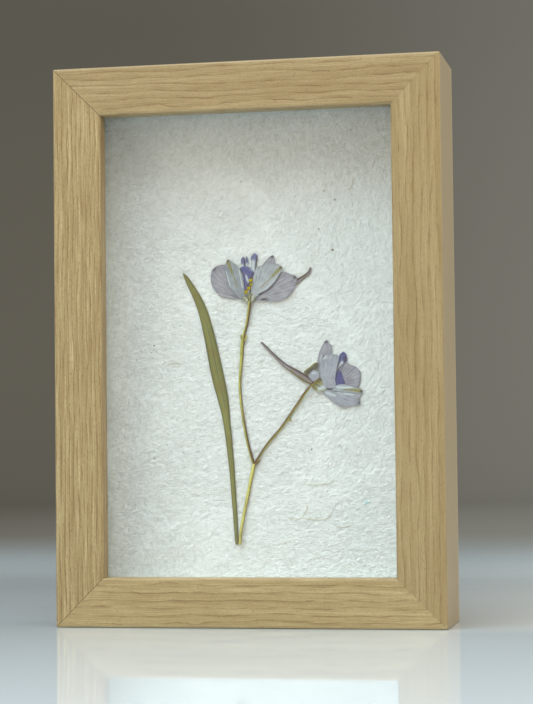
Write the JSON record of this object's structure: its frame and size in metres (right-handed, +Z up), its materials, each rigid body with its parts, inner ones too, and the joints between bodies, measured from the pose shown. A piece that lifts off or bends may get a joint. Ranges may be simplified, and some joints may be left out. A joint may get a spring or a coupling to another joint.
{
  "type": "pressed flower frame",
  "caption": "Deep mitred wood-look frame standing upright, with a pressed flower sprig on handmade paper behind glass.",
  "frame": {"origin": "bottom centre of the frame, on the surface it stands on", "axes": "+Z up, the glass faces -Y, +X to the right as seen from the front"},
  "size_m": [0.126, 0.032, 0.18],
  "materials": {
    "oak_foil": "oak-look printed foil, satin",
    "tab_steel": "zinc-plated spring steel",
    "float_glass": "clear float glass, polished",
    "rag_paper": "handmade cotton paper, deckled felt texture",
    "grey_card": "plain grey card",
    "fibreboard": "thin brown fibreboard",
    "foam_strip": "white foam-core strip",
    "leaf_green": "pressed dry leaf, matt",
    "stem_green": "pressed dry stem, matt",
    "petal_grey": "pressed dry petal, grey-lavender",
    "petal_pale": "pressed dry petal, pale blue-grey",
    "petal_violet": "pressed dry petal, violet",
    "spur_brown": "pressed dry spur, brown-violet",
    "anther_yellow": "dry pollen, yellow",
    "cup_green": "dry pale green base of the flower",
    "calyx_olive": "dry olive-brown base of the spur"
  },
  "bodies": {
    "root": {"rail_left": "oak_foil", "rail_top": "oak_foil", "rail_right": "oak_foil", "rail_bottom": "oak_foil", "tab_left_low": "tab_steel", "tab_left_high": "tab_steel", "tab_top": "tab_steel", "tab_right_high": "tab_steel", "tab_right_low": "tab_steel", "tab_bottom": "tab_steel", "glass_pane": "float_glass", "rag_paper": "rag_paper", "mount_card": "grey_card", "backboard": "fibreboard", "spacer_left": "foam_strip", "spacer_right": "foam_strip", "spacer_top": "foam_strip", "spacer_bottom": "foam_strip", "leaf": "leaf_green", "stem_lower": "stem_green", "stem_left": "stem_green", "stem_right": "stem_green", "upper_petal_outer_left": "petal_grey", "upper_petal_rear": "petal_grey", "upper_spur": "spur_brown", "upper_petal_outer_right": "petal_grey", "upper_violet_lobe_left": "petal_violet", "upper_violet_lobe_middle": "petal_violet", "upper_violet_lobe_right": "petal_violet", "upper_violet_body": "petal_violet", "upper_petal_inner_left": "petal_pale", "upper_petal_inner_right": "petal_pale", "upper_cup": "cup_green", "anther_1": "anther_yellow", "anther_2": "anther_yellow", "anther_3": "anther_yellow", "anther_4": "anther_yellow", "lower_petal_top": "petal_grey", "lower_petal_right": "petal_grey", "lower_violet_lobe": "petal_violet", "lower_violet_wedge": "petal_violet", "lower_spur": "spur_brown", "lower_petal_bottom": "petal_pale", "lower_calyx": "calyx_olive", "lower_cup": "cup_green", "lower_petal_folded": "petal_pale", "lower_petal_middle": "petal_grey", "lower_petal_small": "petal_pale"}
  },
  "joints": []
}
